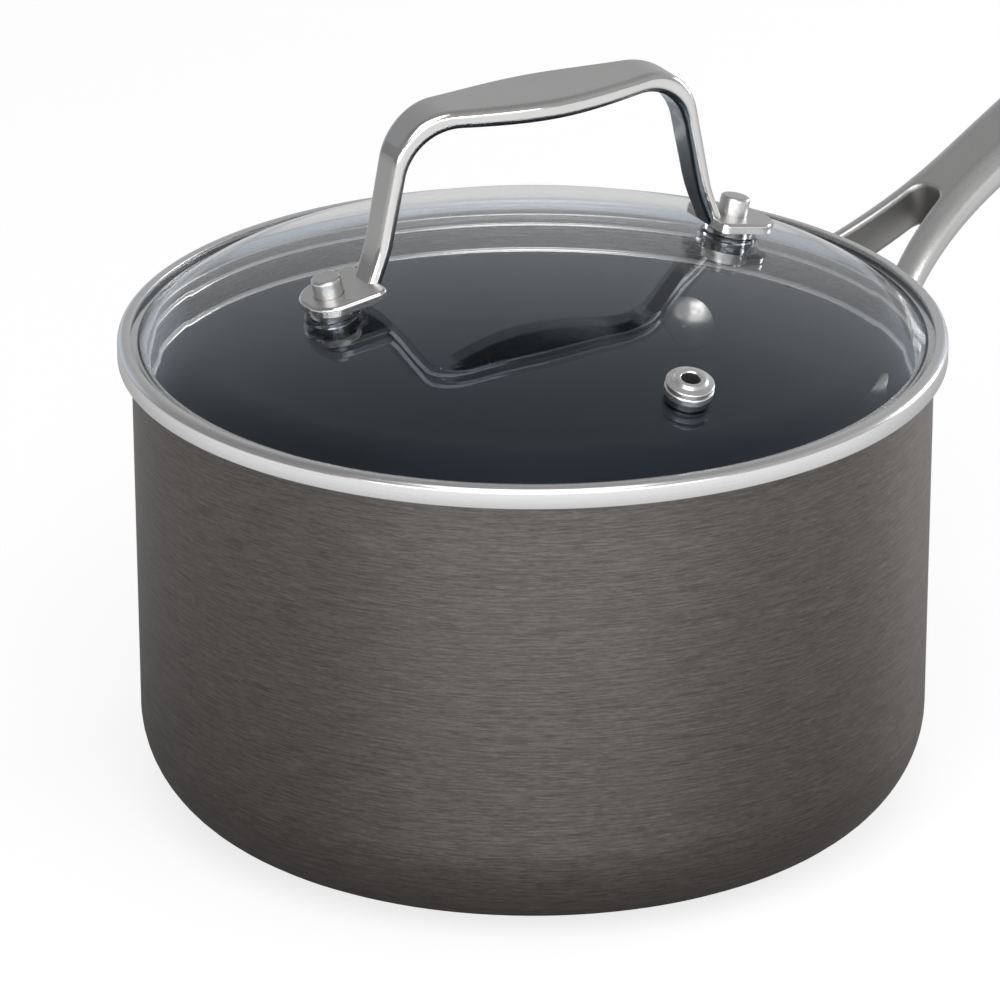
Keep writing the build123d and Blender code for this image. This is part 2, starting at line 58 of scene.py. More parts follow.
COATING_CELLS = (2600, 2600)
FLECK_CONTRAST = (0.45, 0.75)
SHELL_GRAIN_SPAN = (0.2, 0.8)
INSIDE_BLUR = 0.05


def node_tools(tree):
    """The calls that add nodes and links to a node tree."""

    def add(kind, **settings):
        node = tree.nodes.new(kind)
        for setting, value in settings.items():
            setattr(node, setting, value)
        return node

    return add, tree.links.new


def new_finish(name):
    """A material with its own shader, and the calls that add nodes and links to it."""
    finish = bpy.data.materials.new(name)
    finish.use_nodes = True
    add, link = node_tools(finish.node_tree)
    return finish, finish.node_tree.nodes["Principled BSDF"], add, link


def dress(node_name, finish):
    """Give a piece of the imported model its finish."""
    slots = nodes[node_name].material_slots
    slots[0].link = "OBJECT"
    slots[0].material = finish


def feed(link, socket, value):
    """Set a socket to a number or a tuple, or link it to the output of a node."""
    if isinstance(value, (float, tuple)):
        socket.default_value = value
    else:
        link(value, socket)


def combine(add, link, operation, *values):
    """Number worked out from one or more others."""
    result = add("ShaderNodeMath", operation=operation)
    for socket, value in zip(result.inputs, values):
        feed(link, socket, value)
    return result.outputs["Value"]


def axes(add, link, vector):
    """The X, Y and Z of a place or a heading."""
    split = add("ShaderNodeSeparateXYZ")
    link(vector, split.inputs["Vector"])
    return split.outputs


def unit(add, link, vector):
    """Heading of length 1."""
    heading = add("ShaderNodeVectorMath", operation="NORMALIZE")
    link(vector, heading.inputs[0])
    return heading.outputs["Vector"]


def along(add, link, vector, direction):
    """Reach of a vector along a direction."""
    product = add("ShaderNodeVectorMath", operation="DOT_PRODUCT")
    link(vector, product.inputs[0])
    feed(link, product.inputs[1], direction)
    return product.outputs["Value"]


def streaks(add, link, place, cells_around, cells_upward, depth=4.0):
    """Noise drawn out into lines, with so many cells to the metre around the object and up it."""
    stretch = add("ShaderNodeMapping")
    stretch.inputs["Scale"].default_value = (cells_around, cells_around, cells_upward)
    link(place, stretch.inputs["Vector"])
    lines = add("ShaderNodeTexNoise")
    lines.inputs["Scale"].default_value = 1.0
    lines.inputs["Detail"].default_value = depth
    lines.inputs["Roughness"].default_value = LINE_FRAYING
    link(stretch.outputs["Vector"], lines.inputs["Vector"])
    return lines.outputs["Fac"]


def spread(add, link, value, low, high, to_low=0.0, to_high=1.0):
    """Carry a value from one range to another, which is a mask from 0 to 1 unless it is given."""
    span = add("ShaderNodeMapRange")
    span.inputs["From Min"].default_value = low
    span.inputs["From Max"].default_value = high
    span.inputs["To Min"].default_value = to_low
    span.inputs["To Max"].default_value = to_high
    link(value, span.inputs["Value"])
    return span.outputs["Result"]


def two_tones(add, link, share, first, second):
    """Colour between two tones; a tone is a colour or the output of a node."""
    mix = add("ShaderNodeMix", data_type="RGBA")
    first_colour, second_colour = mix.inputs[6:8]
    feed(link, first_colour, first)
    feed(link, second_colour, second)
    link(share, mix.inputs["Factor"])
    return mix.outputs[2]


def two_values(add, link, share, first, second):
    """Number between two numbers given by nodes."""
    mix = add("ShaderNodeMix", data_type="FLOAT")
    first_number, second_number = mix.inputs[2:4]
    link(first, first_number)
    link(second, second_number)
    link(share, mix.inputs["Factor"])
    return mix.outputs[0]


def emboss(add, link, shader, height, strength, depth):
    """Raise the surface by a height from nodes, down to a depth in metres."""
    bump = add("ShaderNodeBump")
    bump.inputs["Strength"].default_value = strength
    bump.inputs["Distance"].default_value = depth
    link(height, bump.inputs["Height"])
    link(bump.outputs["Normal"], shader.inputs["Normal"])


shell, shader, add, link = new_finish("anodised_shell_and_coating")
place = add("ShaderNodeTexCoord").outputs["Object"]
facing = add("ShaderNodeNewGeometry").outputs["Normal"]
flat = add("ShaderNodeVectorMath", operation="MULTIPLY")
flat.inputs[1].default_value = (1, 1, 0)
link(place, flat.inputs[0])
leaning_out = along(add, link, facing, unit(add, link, flat.outputs["Vector"]))
outer_side = combine(add, link, "SUBTRACT", leaning_out, axes(add, link, facing)["Z"])
inside = spread(add, link, outer_side, INSIDE_BLUR, -INSIDE_BLUR)
fine_lines = streaks(add, link, place, *FINE_LINE_CELLS)
long_lines = streaks(add, link, place, *LONG_LINE_CELLS)
brush_lines = combine(add, link, "MULTIPLY", fine_lines, long_lines)
line_share = spread(add, link, brush_lines, *LINE_CONTRAST, 1.0, 0.0)
outer_tone = two_tones(add, link, line_share, SHELL_TONE, SHELL_DARK_LINE)
flecks = streaks(add, link, place, *COATING_CELLS)
fleck_share = spread(add, link, flecks, *FLECK_CONTRAST)
inner_tone = two_tones(add, link, fleck_share, COATING_TONE, COATING_FLECK)
link(two_tones(add, link, inside, outer_tone, inner_tone), shader.inputs["Base Color"])
outer_sheen = spread(add, link, fine_lines, *SHELL_GRAIN_SPAN, *SHELL_SHEEN)
inner_sheen = spread(add, link, flecks, *SHELL_GRAIN_SPAN, *COATING_SHEEN)
link(two_values(add, link, inside, outer_sheen, inner_sheen), shader.inputs["Roughness"])
link(spread(add, link, inside, 0.0, 1.0, SHELL_METAL, 0.0), shader.inputs["Metallic"])
shader.inputs["Anisotropic"].default_value = SHELL_BRUSHING
shader.inputs["Anisotropic Rotation"].default_value = SHELL_BRUSHING_TURN
round_brush = add("ShaderNodeTangent", direction_type="RADIAL", axis="Z")
link(round_brush.outputs["Tangent"], shader.inputs["Tangent"])
shader.inputs["Specular IOR Level"].default_value = COATING_GLOSS
emboss(add, link, shader, two_values(add, link, inside, fine_lines, flecks), *SHELL_RELIEF)
dress("pan_body", shell)


# Pan handle
# One stainless casting, a fork that opens from a solid grip into two legs with a pad on each.
# It is shot to an even satin; the walls of the slot between the legs stay rougher, as they were cast, and
# their darker tone is painted shade between the legs.
STEEL_TONE = (0.71, 0.705, 0.70, 1)
STEEL_DULL = (0.63, 0.625, 0.62, 1)
SLOT_SHADE_TONE = (0.40, 0.395, 0.39, 1)
SLOT_SHADE_DULL = (0.30, 0.295, 0.29, 1)
SHOT_SHEEN = (0.26, 0.36)
SLOT_SHEEN = (0.42, 0.54)
SHOT_CELLS = (3000, 3000)
PIT_SPAN = (0.3, 0.7)
CLOUD_CELLS = (60, 60)
CLOUD_DEPTH = 2.0
SLOT_SIDE_LEAN = (-0.25, -0.60)
SLOT_END_LEAN = (-0.35, -0.70)
SLOT_WALL_SLOPE = (0.60, 0.40)

cast_steel, shader, add, link = new_finish("cast_satin_steel")
place = add("ShaderNodeTexCoord").outputs["Object"]
facing = axes(add, link, add("ShaderNodeNewGeometry").outputs["Normal"])
half = combine(add, link, "SIGN", axes(add, link, place)["Y"])
inward = combine(add, link, "MULTIPLY", half, facing["Y"])
slot_side = spread(add, link, inward, *SLOT_SIDE_LEAN)
slot_end = spread(add, link, facing["X"], *SLOT_END_LEAN)
facing_slot = combine(add, link, "MAXIMUM", slot_side, slot_end)
slope = combine(add, link, "ABSOLUTE", facing["Z"])
upright = spread(add, link, slope, *SLOT_WALL_SLOPE)
slot_wall = combine(add, link, "MULTIPLY", facing_slot, upright)
pits = streaks(add, link, place, *SHOT_CELLS)
clouds = streaks(add, link, place, *CLOUD_CELLS, CLOUD_DEPTH)
shot_tone = two_tones(add, link, clouds, STEEL_TONE, STEEL_DULL)
# The slot walls take a darker tone, painted shade between the legs, on top of their rougher cast sheen.
slot_shade_tone = two_tones(add, link, clouds, SLOT_SHADE_TONE, SLOT_SHADE_DULL)
link(two_tones(add, link, slot_wall, shot_tone, slot_shade_tone), shader.inputs["Base Color"])
shot_sheen = spread(add, link, pits, *PIT_SPAN, *SHOT_SHEEN)
slot_sheen = spread(add, link, pits, *PIT_SPAN, *SLOT_SHEEN)
link(two_values(add, link, slot_wall, shot_sheen, slot_sheen), shader.inputs["Roughness"])
shader.inputs["Metallic"].default_value = 1.0
dress("pan_handle", cast_steel)


# Handle rivets
# Two solid steel rivets, driven from inside the pan into the legs of the fork.
# Their heads are tumbled to a soft bright dome.
RIVET_SHEEN = (0.27, 0.35)
RIVET_GRAIN = 4000
RIVET_RELIEF = (0.2, 0.00001)


def steel_finish(name, sheen, grain, relief, bright=STEEL_TONE, dull=STEEL_DULL):
    """Stainless steel between two roughnesses and two tones, with a grain of so many cells to the metre."""
    finish, shader, add, link = new_finish(name)
    place = add("ShaderNodeTexCoord").outputs["Object"]
    pits = streaks(add, link, place, grain, grain)
    clouds = streaks(add, link, place, *CLOUD_CELLS, CLOUD_DEPTH)
    link(two_tones(add, link, clouds, bright, dull), shader.inputs["Base Color"])
    link(spread(add, link, pits, *PIT_SPAN, *sheen), shader.inputs["Roughness"])
    shader.inputs["Metallic"].default_value = 1.0
    emboss(add, link, shader, pits, *relief)
    return finish


tumbled_steel = steel_finish("tumbled_steel", RIVET_SHEEN, RIVET_GRAIN, RIVET_RELIEF)
dress("handle_rivet_left", tumbled_steel)
dress("handle_rivet_right", tumbled_steel)


# Lid glass
# One disc of soda-lime glass, slumped over a mould to a dome with a steep shoulder and a flat margin.
# It is drilled for the handle and the vent before it is tempered.
PAN_HEIGHT = 0.1102
BAND_SHEET = 0.0005
GLASS_THICKNESS = 0.0036
GLASS_RADIUS = 0.0951
MARGIN_RADIUS = 0.0912
SHOULDER_RADIUS = 0.0836
DOME_RISE = 0.0205
DOME_SWEEP = 0.240
DOME_STEPS = 60
SHOULDER_BLEND = 0.030
SHOULDER_STEPS = 16
MARGIN_BLEND = 0.0015
MARGIN_STEPS = 8
EDGE_BLEND = 0.0003
EDGE_STEPS = 4
PIN_REACH = 0.052
PIN_HOLE_RADIUS = 0.0045
LID_HANDLE_ANGLE = radians(-16.2)
VENT_REACH = 0.0701
VENT_HOLE_RADIUS = 0.0030
VENT_ANGLE = radians(-105.2)
DRILL_HALF_LENGTH = 0.02
DRILL_SIDES = 64
TURNS = 384
AXIS_RADIUS = 1e-7
SHARP_EDGE = radians(40)
GLASS_TONE = (0.965, 0.98, 0.99, 1)
GLASS_CLEAR_TONE = (0.975, 0.985, 0.995, 1)
GLASS_GLINT = (0.56, 0.76, 1.0, 1)
GLASS_BENDING = 1.5
RIPPLE_CELLS = (30, 30)
RIPPLE_DEPTH = 1.0


def bend(before, corner, after, radius, steps):
    """Points of a round of a radius that takes the place of a corner between two neighbours."""
    corner = Vector(corner)
    back = (Vector(before) - corner).normalized()
    ahead = (Vector(after) - corner).normalized()
    half = back.angle(ahead) / 2
    middle = corner + (back + ahead).normalized() * (radius / sin(half))
    first = corner + back * (radius / tan(half)) - middle
    last = corner + ahead * (radius / tan(half)) - middle
    start = atan2(first.y, first.x)
    sweep = (atan2(last.y, last.x) - start + pi) % (2 * pi) - pi
    angles = [start + sweep * step / steps for step in range(steps + 1)]
    return [(middle.x + radius * cos(angle), middle.y + radius * sin(angle)) for angle in angles]


def turned(name, profile, closed=True):
    """Piece turned about the z axis from a profile of radius and height; radius 0 is a point on the axis."""
    points = []
    rows = []
    for radius, height in profile:
        if radius < AXIS_RADIUS:
            rows.append([len(points)] * TURNS)
            points.append((0, 0, height))
            continue
        rows.append(range(len(points), len(points) + TURNS))
        for turn in range(TURNS):
            angle = 2 * pi * turn / TURNS
            points.append((radius * cos(angle), radius * sin(angle), height))
    pairs = list(zip(rows, rows[1:]))
    if closed:
        pairs.append((rows[-1], rows[0]))
    faces = []
    for lower, upper in pairs:
        for turn in range(TURNS):
            beside = (turn + 1) % TURNS
            ring = (lower[turn], lower[beside], upper[beside], upper[turn])
            faces.append(list(dict.fromkeys(ring)))
    mesh = bpy.data.meshes.new(name)
    mesh.from_pydata(points, [], faces)
    mesh.shade_smooth()
    mesh.set_sharp_from_angle(angle=SHARP_EDGE)
    piece = bpy.data.objects.new(name, mesh)
    bpy.context.scene.collection.objects.link(piece)
    return piece


seat = PAN_HEIGHT + BAND_SHEET
margin_top = seat + GLASS_THICKNESS
dome_top = margin_top + DOME_RISE


def dome_height(reach):
    """Height of the dome's upper side at a distance from its axis."""
    return dome_top - DOME_SWEEP + sqrt(DOME_SWEEP**2 - reach**2)


margin_edge = (MARGIN_RADIUS, margin_top)
rim_edge = (GLASS_RADIUS, margin_top)
rim_foot = (GLASS_RADIUS, seat)
dome_edge = (SHOULDER_RADIUS, dome_height(SHOULDER_RADIUS))

# The round of the shoulder touches the dome's arc and the slope down to the margin.
dome_middle = Vector((0, dome_top - DOME_SWEEP))
down_shoulder = (Vector(margin_edge) - Vector(dome_edge)).normalized()
into_glass = Vector((down_shoulder.y, -down_shoulder.x))
to_blend = Vector(dome_edge) + into_glass * SHOULDER_BLEND - dome_middle
downhill = to_blend.dot(down_shoulder)
run = -downhill - sqrt(downhill**2 - to_blend.length_squared + (DOME_SWEEP - SHOULDER_BLEND) ** 2)
blend_middle = dome_middle + to_blend + down_shoulder * run
blend_heading = (blend_middle - dome_middle).normalized()
blend_start = atan2(blend_heading.y, blend_heading.x)
blend_sweep = atan2(-into_glass.y, -into_glass.x) - blend_start

upper_side = [(0, dome_top)]
for step in range(1, DOME_STEPS):
    reach = DOME_SWEEP * blend_heading.x * step / DOME_STEPS
    upper_side.append((reach, dome_height(reach)))
for step in range(SHOULDER_STEPS + 1):
    angle = blend_start + blend_sweep * step / SHOULDER_STEPS
    around = (SHOULDER_BLEND * cos(angle), SHOULDER_BLEND * sin(angle))
    upper_side.append((blend_middle.x + around[0], blend_middle.y + around[1]))
upper_side += bend(dome_edge, margin_edge, rim_edge, MARGIN_BLEND, MARGIN_STEPS)
lower_side = [(radius, height - GLASS_THICKNESS) for radius, height in upper_side]
upper_rim = bend(margin_edge, rim_edge, rim_foot, EDGE_BLEND, EDGE_STEPS)
lower_rim = bend(rim_edge, rim_foot, (MARGIN_RADIUS, seat), EDGE_BLEND, EDGE_STEPS)
glass_profile = upper_side + upper_rim + lower_rim + lower_side[::-1]
glass_piece = turned("domed_glass", glass_profile[::-1], closed=False)


def drill(piece, reach, angle, radius):
    """Bore a hole square through the dome."""
    turns = [2 * pi * side / DRILL_SIDES for side in range(DRILL_SIDES)]
    ends = (-DRILL_HALF_LENGTH, DRILL_HALF_LENGTH)
    points = [(radius * cos(turn), radius * sin(turn), end) for end in ends for turn in turns]
    faces = [tuple(range(DRILL_SIDES - 1, -1, -1)), tuple(range(DRILL_SIDES, 2 * DRILL_SIDES))]
    for side in range(DRILL_SIDES):
        beside = (side + 1) % DRILL_SIDES
        faces.append((side, beside, beside + DRILL_SIDES, side + DRILL_SIDES))
    mesh = bpy.data.meshes.new("drill")
    mesh.from_pydata(points, [], faces)
    tool = bpy.data.objects.new("drill", mesh)
    spot = Matrix.Translation((reach, 0, dome_height(reach)))
    tilt = Matrix.Rotation(asin(reach / DOME_SWEEP), 4, "Y")
    tool.matrix_world = Matrix.Rotation(angle, 4, "Z") @ spot @ tilt
    bpy.context.scene.collection.objects.link(tool)
    cut = piece.modifiers.new("hole", "BOOLEAN")
    cut.operation = "DIFFERENCE"
    cut.solver = "EXACT"
    cut.object = tool
    bored = piece.evaluated_get(bpy.context.evaluated_depsgraph_get())
    bored_mesh = bpy.data.meshes.new_from_object(bored)
    piece.modifiers.remove(cut)
    piece.data = bored_mesh
    bpy.data.objects.remove(tool)


drill(glass_piece, PIN_REACH, LID_HANDLE_ANGLE, PIN_HOLE_RADIUS)
drill(glass_piece, PIN_REACH, LID_HANDLE_ANGLE + pi, PIN_HOLE_RADIUS)
drill(glass_piece, VENT_REACH, VENT_ANGLE, VENT_HOLE_RADIUS)
glass_piece.data.set_sharp_from_angle(angle=SHARP_EDGE)

glass, shader, add, link = new_finish("tempered_glass")
place = add("ShaderNodeTexCoord").outputs["Object"]
shader.inputs["Transmission Weight"].default_value = 1.0
shader.inputs["IOR"].default_value = GLASS_BENDING
shader.inputs["Specular Tint"].default_value = GLASS_GLINT
ripple = streaks(add, link, place, *RIPPLE_CELLS, RIPPLE_DEPTH)
link(two_tones(add, link, ripple, GLASS_TONE, GLASS_CLEAR_TONE), shader.inputs["Base Color"])
shader.inputs["Roughness"].default_value = 0.0
ray = add("ShaderNodeLightPath")
clear = add("ShaderNodeBsdfTransparent")
clear.inputs["Color"].default_value = GLASS_TONE
lit_through = add("ShaderNodeMixShader")
link(ray.outputs["Is Shadow Ray"], lit_through.inputs["Fac"])
link(shader.outputs["BSDF"], lit_through.inputs[1])
link(clear.outputs["BSDF"], lit_through.inputs[2])
surface = next(node for node in glass.node_tree.nodes if node.type == "OUTPUT_MATERIAL")
link(lit_through.outputs["Shader"], surface.inputs["Surface"])
glass_piece.data.materials.clear()
glass_piece.data.materials.append(glass)
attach(glass_piece, "lid")
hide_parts("lid_glass")


# Lid band
# One strip of stainless sheet, rolled round the edge of the glass and left bright.
# It rests on the rim of the pan and drops a skirt with a bead and a rolled hem into its mouth.
BAND_RADIUS = 0.0962
BAND_FOOT_BLEND = 0.0003
BAND_FOOT_STEPS = 4
GROOVE_RADIUS = 0.0952
LIP_RADIUS = 0.0932
LIP_THICKNESS = 0.0011
LIP_ROUND_WIDTH = 0.0020
LIP_ROUND_HEIGHT = 0.0016
LIP_ROUND_STEPS = 16
LIP_EDGE_BLEND = 0.0004
LIP_EDGE_STEPS = 6
SKIRT_RADIUS = 0.0890
SKIRT_THICKNESS = 0.0008
SKIRT_DEPTH = 0.0088
HEM_RADIUS = 0.0009
HEM_STEPS = 24
BEAD_RADIUS = 0.0006
BEAD_DROP = 0.0024
BEAD_STEPS = 12
BAND_TONE = (0.82, 0.82, 0.82, 1)
BAND_LINE_TONE = (0.70, 0.70, 0.70, 1)
BAND_SHEEN = (0.20, 0.30)
BAND_RELIEF = (0.05, 0.00002)
ROLLED_LINE_CELLS = (60, 5200)

band_top = margin_top + LIP_THICKNESS
skirt_inner = SKIRT_RADIUS - SKIRT_THICKNESS
skirt_low = PAN_HEIGHT - SKIRT_DEPTH
bead_height = PAN_HEIGHT - BEAD_DROP
skirt_root = (SKIRT_RADIUS, PAN_HEIGHT)
band_foot = (BAND_RADIUS, PAN_HEIGHT)
lip_edge = (LIP_RADIUS, band_top)
lip_foot = (LIP_RADIUS, margin_top)
groove_foot = (GROOVE_RADIUS, seat)
skirt_bend = (skirt_inner, seat)

band_profile = bend(skirt_root, band_foot, (BAND_RADIUS, band_top), BAND_FOOT_BLEND, BAND_FOOT_STEPS)
for step in range(LIP_ROUND_STEPS + 1):
    angle = pi / 2 * step / LIP_ROUND_STEPS
    radius = BAND_RADIUS - LIP_ROUND_WIDTH * (1 - cos(angle))
    band_profile.append((radius, band_top - LIP_ROUND_HEIGHT * (1 - sin(angle))))
band_profile += bend((GROOVE_RADIUS, band_top), lip_edge, lip_foot, LIP_EDGE_BLEND, LIP_EDGE_STEPS)
band_profile += [lip_foot, (GROOVE_RADIUS, margin_top), groove_foot]
band_profile += bend(groove_foot, skirt_bend, (skirt_inner, skirt_low), BAND_FOOT_BLEND, BAND_FOOT_STEPS)
for step in range(BEAD_STEPS + 1):
    angle = pi / 2 + pi * step / BEAD_STEPS
    radius = skirt_inner + BEAD_RADIUS * cos(angle)
    band_profile.append((radius, bead_height + BEAD_RADIUS * sin(angle)))
hem_start = asin((HEM_RADIUS - SKIRT_THICKNESS) / HEM_RADIUS)
for step in range(HEM_STEPS + 1):
    angle = pi / 2 + hem_start + (1.5 * pi - hem_start) * step / HEM_STEPS
    radius = SKIRT_RADIUS - HEM_RADIUS + HEM_RADIUS * cos(angle)
    band_profile.append((radius, skirt_low + HEM_RADIUS * sin(angle)))
band_profile.append(skirt_root)
band_piece = turned("rolled_band", band_profile)

band, shader, add, link = new_finish("rolled_bright_steel")
place = add("ShaderNodeTexCoord").outputs["Object"]
rolled_lines = streaks(add, link, place, *ROLLED_LINE_CELLS)
link(two_tones(add, link, rolled_lines, BAND_TONE, BAND_LINE_TONE), shader.inputs["Base Color"])
link(spread(add, link, rolled_lines, *PIT_SPAN, *BAND_SHEEN), shader.inputs["Roughness"])
shader.inputs["Metallic"].default_value = 1.0
emboss(add, link, shader, rolled_lines, *BAND_RELIEF)
band_piece.data.materials.append(band)
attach(band_piece, "lid")
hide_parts("lid_band")


# Gaskets of the lid handle
# Bushes between the feet and the glass, and washers below it, moulded from a clear smoky silicone.
# They are clamped by the pins and keep the steel of the handle off the glass.
SILICONE_TONE = (0.55, 0.57, 0.60, 1)
SILICONE_DUST = (0.42, 0.44, 0.47, 1)
SILICONE_SHEEN = (0.04, 0.10)
SILICONE_BENDING = 1.41
SILICONE_CELLS = (900, 900)
SILICONE_RELIEF = (0.1, 0.00002)

silicone, shader, add, link = new_finish("smoky_silicone")
place = add("ShaderNodeTexCoord").outputs["Object"]
mottle = streaks(add, link, place, *SILICONE_CELLS)
link(two_tones(add, link, mottle, SILICONE_TONE, SILICONE_DUST), shader.inputs["Base Color"])
link(spread(add, link, mottle, *PIT_SPAN, *SILICONE_SHEEN), shader.inputs["Roughness"])
shader.inputs["Transmission Weight"].default_value = 1.0
shader.inputs["IOR"].default_value = SILICONE_BENDING
emboss(add, link, shader, mottle, *SILICONE_RELIEF)
for side_name in ("left", "right"):
    dress(f"foot_gasket_{side_name}", silicone)
    dress(f"under_gasket_{side_name}", silicone)


# Lid handle
# One stainless casting bent into a loop, widest in the middle of its bar, with a foot plate at each end.
# The top of the bar and the feet are ground to a satin, the legs and edges are polished.
SATIN_FOOT = 0.1678
SATIN_FOOT_BLUR = 0.0003
FOOT_CEILING = 0.145
FOOT_BLUR = 0.001
FOOT_TOP_SLOPE = (0.90, 0.96)
LOOP_MIDDLE = (0, 0, 0.150)
ACROSS_LOOP = (-sin(LID_HANDLE_ANGLE), cos(LID_HANDLE_ANGLE), 0)
BROAD_FACE_LEAN = (0.40, 0.25)
OUTER_FACE_REACH = (0.0, 0.004)
LOOP_TONE = (0.69, 0.685, 0.68, 1)
LOOP_DULL = (0.63, 0.625, 0.62, 1)
POLISHED_SHEEN = (0.10, 0.16)
SATIN_SHEEN = (0.33, 0.41)
GRIT_CELLS = (3000, 3000)
LOOP_RELIEF = (0.3, 0.00004)

loop_steel, shader, add, link = new_finish("ground_and_polished_steel")
place = add("ShaderNodeTexCoord").outputs["Object"]
height = axes(add, link, place)["Z"]
facing = add("ShaderNodeNewGeometry").outputs["Normal"]
sideways = combine(add, link, "ABSOLUTE", along(add, link, facing, ACROSS_LOOP))
broad_face = spread(add, link, sideways, *BROAD_FACE_LEAN)
from_middle = add("ShaderNodeVectorMath", operation="SUBTRACT")
from_middle.inputs[1].default_value = LOOP_MIDDLE
link(place, from_middle.inputs[0])
outer_face = spread(add, link, along(add, link, from_middle.outputs["Vector"], facing), *OUTER_FACE_REACH)
above_line = spread(add, link, height, SATIN_FOOT - SATIN_FOOT_BLUR, SATIN_FOOT + SATIN_FOOT_BLUR)
below_legs = spread(add, link, height, FOOT_CEILING + FOOT_BLUR, FOOT_CEILING)
flat_top = spread(add, link, axes(add, link, facing)["Z"], *FOOT_TOP_SLOPE)
bar_face = combine(add, link, "MULTIPLY", broad_face, outer_face)
ground_bar = combine(add, link, "MULTIPLY", bar_face, above_line)
ground_foot = combine(add, link, "MULTIPLY", flat_top, below_legs)
satin = combine(add, link, "MAXIMUM", ground_bar, ground_foot)
grit = streaks(add, link, place, *GRIT_CELLS)
clouds = streaks(add, link, place, *CLOUD_CELLS, CLOUD_DEPTH)
polished_sheen = spread(add, link, grit, *PIT_SPAN, *POLISHED_SHEEN)
satin_sheen = spread(add, link, grit, *PIT_SPAN, *SATIN_SHEEN)
link(two_values(add, link, satin, polished_sheen, satin_sheen), shader.inputs["Roughness"])
link(two_tones(add, link, clouds, LOOP_TONE, LOOP_DULL), shader.inputs["Base Color"])
shader.inputs["Metallic"].default_value = 1.0
ground_grit = combine(add, link, "MULTIPLY", grit, satin)
emboss(add, link, shader, combine(add, link, "ADD", ground_grit, above_line), *LOOP_RELIEF)
dress("lid_handle", loop_steel)


# Pins and washers of the lid handle
# Steel pins turned on a lathe, which come up through the glass and the feet of the handle and hold them fast.
# A steel washer under the glass spreads the load of each head over its gasket.
PIN_SHEEN = (0.26, 0.34)
PIN_GRAIN = 3500
PIN_RELIEF = (0.2, 0.00002)

turned_steel = steel_finish("turned_steel", PIN_SHEEN, PIN_GRAIN, PIN_RELIEF)
for side_name in ("left", "right"):
    dress(f"lid_pin_{side_name}", turned_steel)
    dress(f"backing_washer_{side_name}", turned_steel)


# Steam vent
# An eyelet rolled from bright steel sits on a washer over the third hole in the glass.
# Its tube is flared over a ring below the glass, coloured near black, so that it can't lift out.
VENT_TONE = (0.88, 0.88, 0.88, 1)
VENT_DULL = (0.80, 0.80, 0.80, 1)
VENT_SHEEN = (0.22, 0.30)
VENT_GRAIN = 9000
VENT_RELIEF = (0.2, 0.000002)
NEAR_BLACK_TONE = (0.030, 0.030, 0.032, 1)
NEAR_BLACK_DULL = (0.020, 0.020, 0.022, 1)
NEAR_BLACK_SHEEN = (0.30, 0.40)
NEAR_BLACK_GRAIN = 4000
NEAR_BLACK_RELIEF = (0.2, 0.00001)

bright_steel = steel_finish("bright_steel", VENT_SHEEN, VENT_GRAIN, VENT_RELIEF, VENT_TONE, VENT_DULL)
# The ring below the glass is simply given a near-black colour.
near_black_steel = steel_finish(
    "near_black_steel", NEAR_BLACK_SHEEN, NEAR_BLACK_GRAIN, NEAR_BLACK_RELIEF, NEAR_BLACK_TONE, NEAR_BLACK_DULL
)
dress("vent_eyelet", bright_steel)
dress("vent_washer", bright_steel)
dress("vent_back_ring", near_black_steel)


# Floor
# A wide sheet of pale paper, laid flat just below the base of the pan.
# It shows white to the camera and keeps the pan's shadow.
# Steel and glass see it glow as painted light, with painted shadow near the pan and painted shade behind it
# and far to the left.
FLOOR_HALF = 6.0
FLOOR_CORNERS = [(-1, -1), (1, -1), (1, 1), (-1, 1)]
FLOOR_DROP = 0.0002
BACKWARD = (0.7096, 0.7046, 0)
LEFTWARD = (-0.7046, 0.7096, 0)
PAPER_TONE = (0.35, 0.35, 0.35, 1)
PAPER_GLOW = (1, 1, 1, 1)
SEEN_GLOW = 0.77
MIRRORED_GLOW = 0.74
PAN_SHADE_REACH = (0.13, 0.36)
BACK_LEAN = (-0.2, 0.7)
BACK_SHARE = 0.45
LEFT_LEAN = (0.6, 0.85)
FAR_REACH = (0.45, 0.70)
FAR_LEFT_LOSS = 0.45

floor_mesh = bpy.data.meshes.new("floor")
floor_points = [(x * FLOOR_HALF, y * FLOOR_HALF, -FLOOR_DROP) for x, y in FLOOR_CORNERS]
floor_mesh.from_pydata(floor_points, [], [(0, 1, 2, 3)])
floor = bpy.data.objects.new("floor", floor_mesh)
bpy.context.scene.collection.objects.link(floor)

paper, shader, add, link = new_finish("white_paper")
shader.inputs["Base Color"].default_value = PAPER_TONE
shader.inputs["Roughness"].default_value = 1.0
shader.inputs["Specular IOR Level"].default_value = 0.0
ray = add("ShaderNodeLightPath").outputs
seen = combine(add, link, "MAXIMUM", ray["Is Camera Ray"], ray["Is Transmission Ray"])
plain_glow = spread(add, link, seen, 0.0, 1.0, 0.0, SEEN_GLOW)
place = add("ShaderNodeTexCoord").outputs["Object"]
length = add("ShaderNodeVectorMath", operation="LENGTH")
link(place, length.inputs[0])
reach = length.outputs["Value"]
heading = unit(add, link, place)
